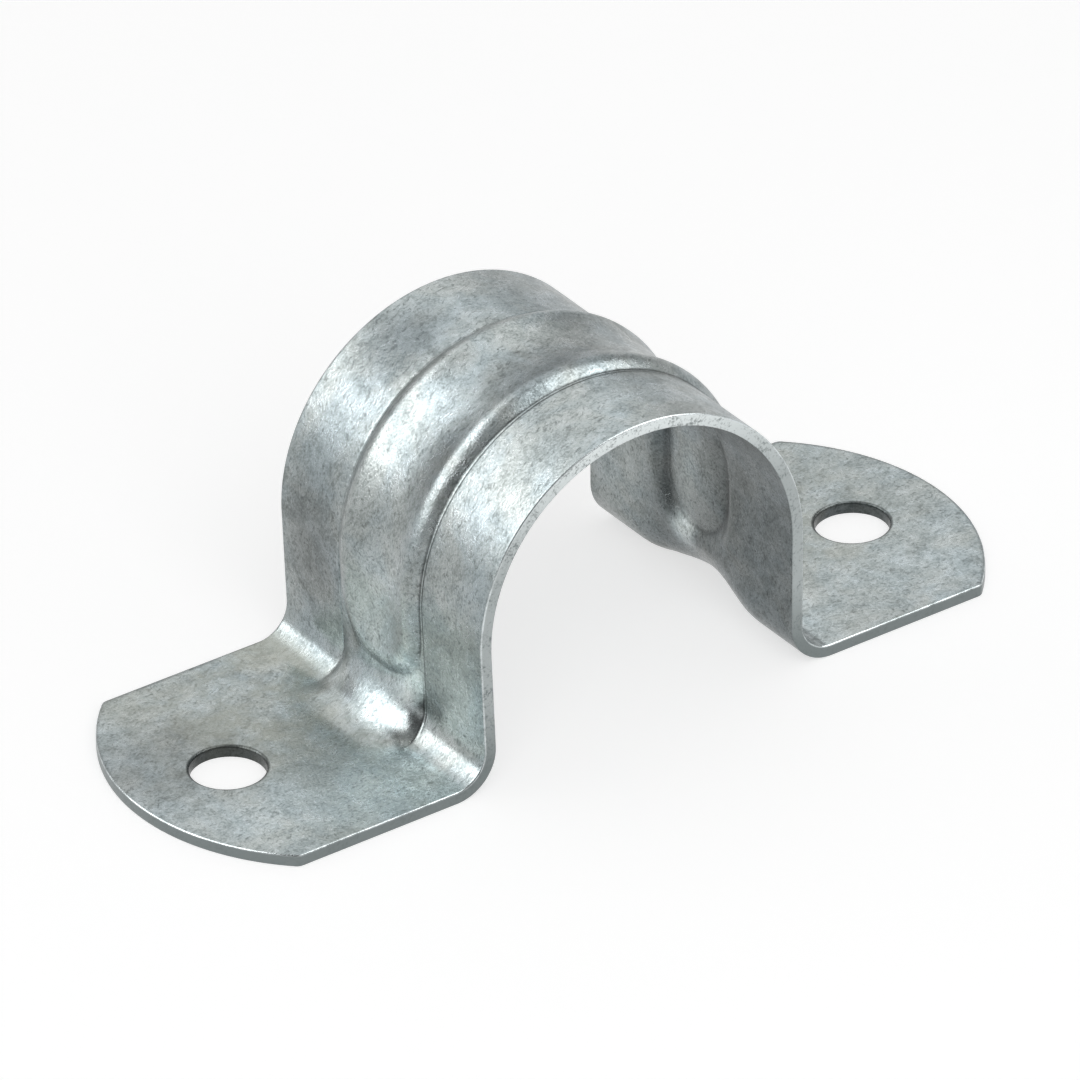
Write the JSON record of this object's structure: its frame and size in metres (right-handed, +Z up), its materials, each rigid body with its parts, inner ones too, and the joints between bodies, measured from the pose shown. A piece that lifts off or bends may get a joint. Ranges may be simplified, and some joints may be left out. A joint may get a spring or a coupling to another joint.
{
  "type": "full conduit saddle",
  "caption": "Pressed zinc-coated steel saddle that straps a round conduit to a wall or ceiling by screws through its two flat feet.",
  "frame": {"origin": "midway between the two feet, on their underside, under the middle of the conduit", "axes": "+X along the strap from foot to foot, +Y along the conduit's axis, +Z up from the wall through the crown"},
  "size_m": [0.0674, 0.024, 0.0249],
  "materials": {
    "zinc_steel": "zinc-coated sheet steel, satin, with a fine mottled spangle and small dark pits"
  },
  "bodies": {
    "root": {"saddle_strap": "zinc_steel"}
  },
  "joints": []
}
